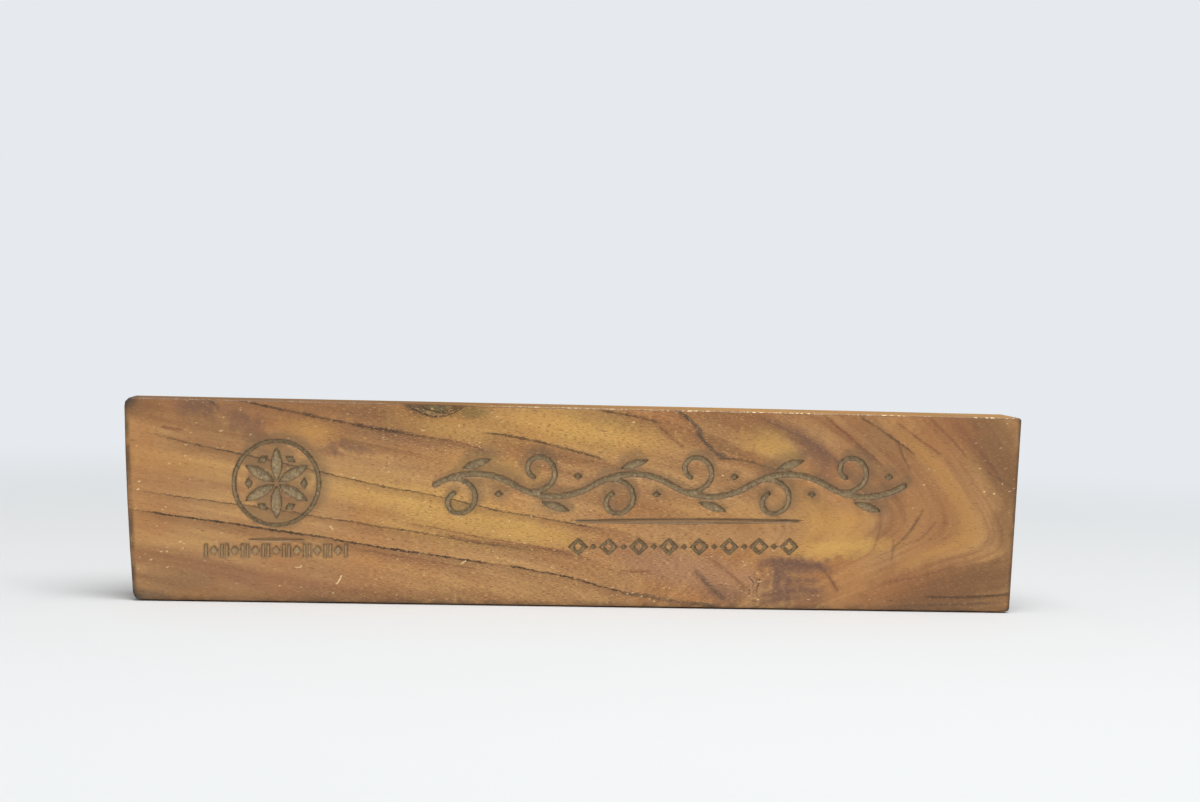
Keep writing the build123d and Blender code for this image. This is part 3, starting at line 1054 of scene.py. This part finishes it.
# %% Fill finish
def fill_finish(name, tint, tint_share, names):
    """A gritty matt fill, tinted by some share, for the named engravings."""
    fill, paste, matt, here = new_finish(name)
    grain = uneven(paste, here, 1.3, 1.6)
    colour = ramp(paste, grain, [
        (0.15, paint(114, 96, 69)),
        (0.45, paint(148, 125, 91)),
        (0.65, paint(166, 142, 104)),
        (0.90, paint(190, 166, 126)),
    ])
    grit = flecked(paste, here, 1.1, 0.34, 0.22)
    colour = tinted(paste, colour, paint(214, 196, 158), grit, 0.45)
    paste.links.new(mixed(paste, tint_share, colour, tint), matt.inputs["Base Color"])
    paste.links.new(remap(paste, grain, 0.2, 0.8, 0.7, 0.95), matt.inputs["Roughness"])
    bumped(paste, matt, grain, 0.6, 0.00015)
    for node_name in names:
        nodes[node_name].material_slots[0].material = fill
    print("material", name, "on", ", ".join(names))


fill_finish("grey_fill", paint(142, 126, 98), 0.15, ["emblem_fill", "flourish_fill", "title_fill"])
fill_finish("pale_fill", paint(172, 138, 96), 0.5, ["caption_fill"])
fill_finish("brown_fill", paint(158, 120, 80), 0.7, ["emblem_rule_fill", "rule_fill"])

# %% [markdown]
# ## The felt pads
#
# Four round pads of pressed felt are let into the underside and stand a little proud of it. Felt is cut
# with a punch, so the rim is upright but frayed and the lower edge rolls in where the desk presses it. Each
# pad is spun from a short profile, and its rim is pushed in and out by noise.

# %% Pad meshes
pad_sides = 56
fray_depth = 0.00006
fray_size = 0.0006
# Each row: share of the radius, share of the height
pad_profile = [(0.0, 0.01), (0.45, 0.0), (0.80, 0.0), (0.93, 0.03), (0.98, 0.12), (1.0, 0.28), (0.985, 0.5),
               (0.98, 0.75), (0.97, 0.97), (0.90, 1.0), (0.5, 1.0), (0.0, 1.0)]


def felt_pad(node_name, piece_name):
    low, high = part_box(node_name)
    middle = (low + high) / 2
    radius = (high.x - low.x) / 2 - fray_depth
    height = high.z - low.z
    body = bmesh.new()
    loops = []
    for radius_share, height_share in pad_profile:
        loop = []
        for side in range(pad_sides if radius_share else 1):
            angle = 2 * math.pi * side / pad_sides
            outward = Vector((math.cos(angle), math.sin(angle), 0))
            centre = Vector((middle.x, middle.y, low.z + height * height_share))
            place = centre + outward * radius * radius_share
            fray = noise.noise(place / fray_size) * fray_depth * radius_share
            loop.append(body.verts.new(place + outward * fray))
        loops.append(loop)
    for inner, outer in zip(loops, loops[1:]):
        for side in range(pad_sides):
            corners = [inner[side % len(inner)], inner[(side + 1) % len(inner)]]
            corners += [outer[(side + 1) % len(outer)], outer[side % len(outer)]]
            # The middle point comes twice in a list and is used once
            body.faces.new(dict.fromkeys(corners))
    bmesh.ops.recalc_face_normals(body, faces=body.faces)
    mesh = bpy.data.meshes.new(piece_name)
    body.to_mesh(mesh)
    body.free()
    mesh.shade_smooth()
    return added(piece_name, mesh)


pads = []
for corner in ("front_left", "front_right", "rear_left", "rear_right"):
    pad = felt_pad(corner + "_pad", corner + "_felt")
    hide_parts(corner + "_pad")
    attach(pad, "root")
    pads.append(pad)
print("pads:", ", ".join(pad.name for pad in pads))

# %% Felt finish
felt, nap, fibre, here = new_finish("pressed_felt")
tangle = uneven(nap, here, 4.0, 2.0)
colour = ramp(nap, tangle, [(0.2, paint(40, 37, 34)), (0.55, paint(62, 58, 54)), (0.9, paint(92, 87, 80))])
lint = flecked(nap, here, 1.4, 0.2, 0.2)
colour = tinted(nap, colour, paint(170, 160, 145), lint, 0.5)
nap.links.new(colour, fibre.inputs["Base Color"])
nap.links.new(remap(nap, tangle, 0.2, 0.8, 0.85, 1.0), fibre.inputs["Roughness"])
fibre.inputs["Sheen Weight"].default_value = 0.3
bumped(nap, fibre, tangle, 0.8, 0.0001)
for pad in pads:
    pad.data.materials.append(felt)
print("material", felt.name)

# %% [markdown]
# ## Floor, light and background
#
# The plate stands on a plain pale desk before a pale wall. A sweep does both: a floor that curves up into a
# wall far behind, so no corner shows and the camera can go round the plate. A big soft lamp hangs above
# and before the plate, and the world fills in the rest. The levels are set so that a white card before the
# plate would come out just white, and colours render about as they are written.

# %% Sweep
floor_half_width = 4.0
floor_front = -4.0
bend_start = 1.1
bend_radius = 1.0
wall_top = 4.0
bend_steps = 24

outline = [(floor_front, 0.0)]
for step in range(bend_steps + 1):
    angle = math.pi / 2 * step / bend_steps
    outline.append((bend_start + bend_radius * math.sin(angle), bend_radius * (1 - math.cos(angle))))
outline.append((bend_start + bend_radius, wall_top))
corners, quads = [], []
for y, z in outline:
    corners += [(-floor_half_width, y, z), (floor_half_width, y, z)]
for row in range(len(outline) - 1):
    quads.append((2 * row, 2 * row + 1, 2 * row + 3, 2 * row + 2))
sweep_mesh = bpy.data.meshes.new("sweep")
sweep_mesh.from_pydata(corners, [], quads)
sweep_mesh.shade_smooth()
sweep = added("sweep", sweep_mesh)

paper, sheet, card, here = new_finish("pale_paper")
shade = uneven(sheet, here, 0.004, 0.6)
sheet.links.new(mixed(sheet, shade, paint(211, 213, 214), paint(217, 219, 220)), card.inputs["Base Color"])
card.inputs["Roughness"].default_value = 0.8
card.inputs["Specular IOR Level"].default_value = 0.1
sweep_mesh.materials.append(paper)
print("sweep from", floor_front, "to", bend_start + bend_radius, "m")

# %% Pale wall
wall_colour = paint(230, 234, 238)
fade_start, fade_end = 160.0, 650.0


def seen_rays(tree):
    """One for the rays that show a background: to the camera, off gloss and through glass."""
    path = tree.nodes.new("ShaderNodeLightPath")
    rays = maths(tree, "MAXIMUM", path.outputs["Is Camera Ray"], path.outputs["Is Glossy Ray"])
    return maths(tree, "MAXIMUM", rays, path.outputs["Is Transmission Ray"])


x, y, z = parted(sheet, here)
away = maths(sheet, "SQRT", maths(sheet, "MULTIPLY_ADD", x, x, times(sheet, y, y)))
far_off = remap(sheet, away, fade_start, fade_end)
glow = made(sheet, "ShaderNodeEmission", wall_colour)
share = times(sheet, far_off, seen_rays(sheet))
blend = made(sheet, "ShaderNodeMixShader", share, card.outputs["BSDF"], glow.outputs["Emission"])
sheet.links.new(blend.outputs["Shader"], sheet.nodes["Material Output"].inputs["Surface"])
print("wall begins", fade_start, "mm from the plate")

# %% World
world = bpy.data.worlds.new("pale_room")
bpy.context.scene.world = world
world.use_nodes = True
room = world.node_tree
room.nodes.clear()
lighting = made(room, "ShaderNodeBackground", (1.0, 0.995, 0.985, 1.0), 0.5)
seen = made(room, "ShaderNodeBackground", wall_colour, 1.0)
choice = made(
    room,
    "ShaderNodeMixShader",
    seen_rays(room),
    lighting.outputs["Background"],
    seen.outputs["Background"],
)
made(room, "ShaderNodeOutputWorld", choice.outputs["Shader"])
print("world ready")

# %% Lamps
def soft_lamp(name, place, target, size, power):
    lamp = bpy.data.lights.new(name, "AREA")
    lamp.shape = "RECTANGLE"
    lamp.size, lamp.size_y = size
    lamp.energy = power
    holder = added(name, lamp)
    holder.location = place
    holder.rotation_mode = "QUATERNION"
    holder.rotation_quaternion = (Vector(target) - Vector(place)).to_track_quat("-Z", "Y")


soft_lamp("overhead_lamp", (0.15, -0.45, 1.20), (0.0, 0.0, 0.03), (1.2, 1.0), 17.6)
bpy.context.scene.view_settings.view_transform = "Standard"
print("lamp ready")
